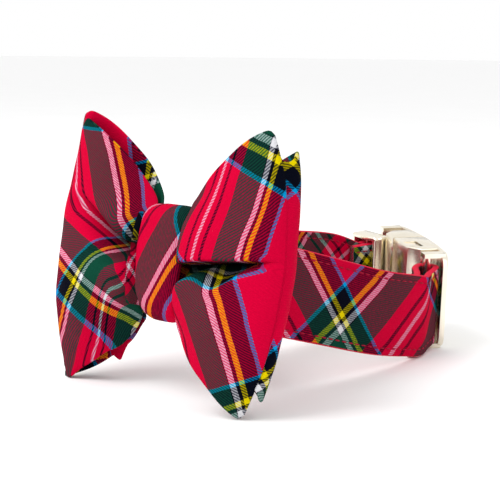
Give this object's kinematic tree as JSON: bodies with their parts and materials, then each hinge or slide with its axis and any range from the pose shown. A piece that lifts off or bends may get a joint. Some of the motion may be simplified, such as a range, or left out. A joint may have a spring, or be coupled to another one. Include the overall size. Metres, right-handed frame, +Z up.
{
  "type": "dog training collar with a bow",
  "caption": "Tartan cloth dog collar with a pinched bow on its front, a fastened metal side-release buckle, an adjusting slide and a swinging lead ring.",
  "frame": {"origin": "middle of the bounding box's base, on the surface that the collar stands on", "axes": "+Z up; -Y is the front, where the bow faces; the band runs back along +Y to the buckle; +X is the side where the band's near end leaves the buckle"},
  "size_m": [0.0864, 0.1394, 0.0763],
  "materials": {
    "tartan_cloth": "twill-woven cotton tartan, red ground with green, blue, yellow, black and white stripes",
    "pale_gold_metal": "polished pale gold plating"
  },
  "bodies": {
    "collar": {"collar_band": "tartan_cloth", "bow_wings": "tartan_cloth", "bow_knot": "tartan_cloth", "bow_keeper": "tartan_cloth", "d_ring_keeper": "tartan_cloth", "buckle_socket": "pale_gold_metal", "buckle_prong": "pale_gold_metal", "strap_slide": "pale_gold_metal"},
    "lead_ring": {"d_ring": "pale_gold_metal"}
  },
  "joints": [
    {"name": "ring_swing", "type": "hinge", "parent": "collar", "child": "lead_ring", "pos_m": [-0.02534, 0.03052, 0.02291], "axis": [0.0016, 0.1416, 0.9899], "range_deg": [0, 150]}
  ]
}
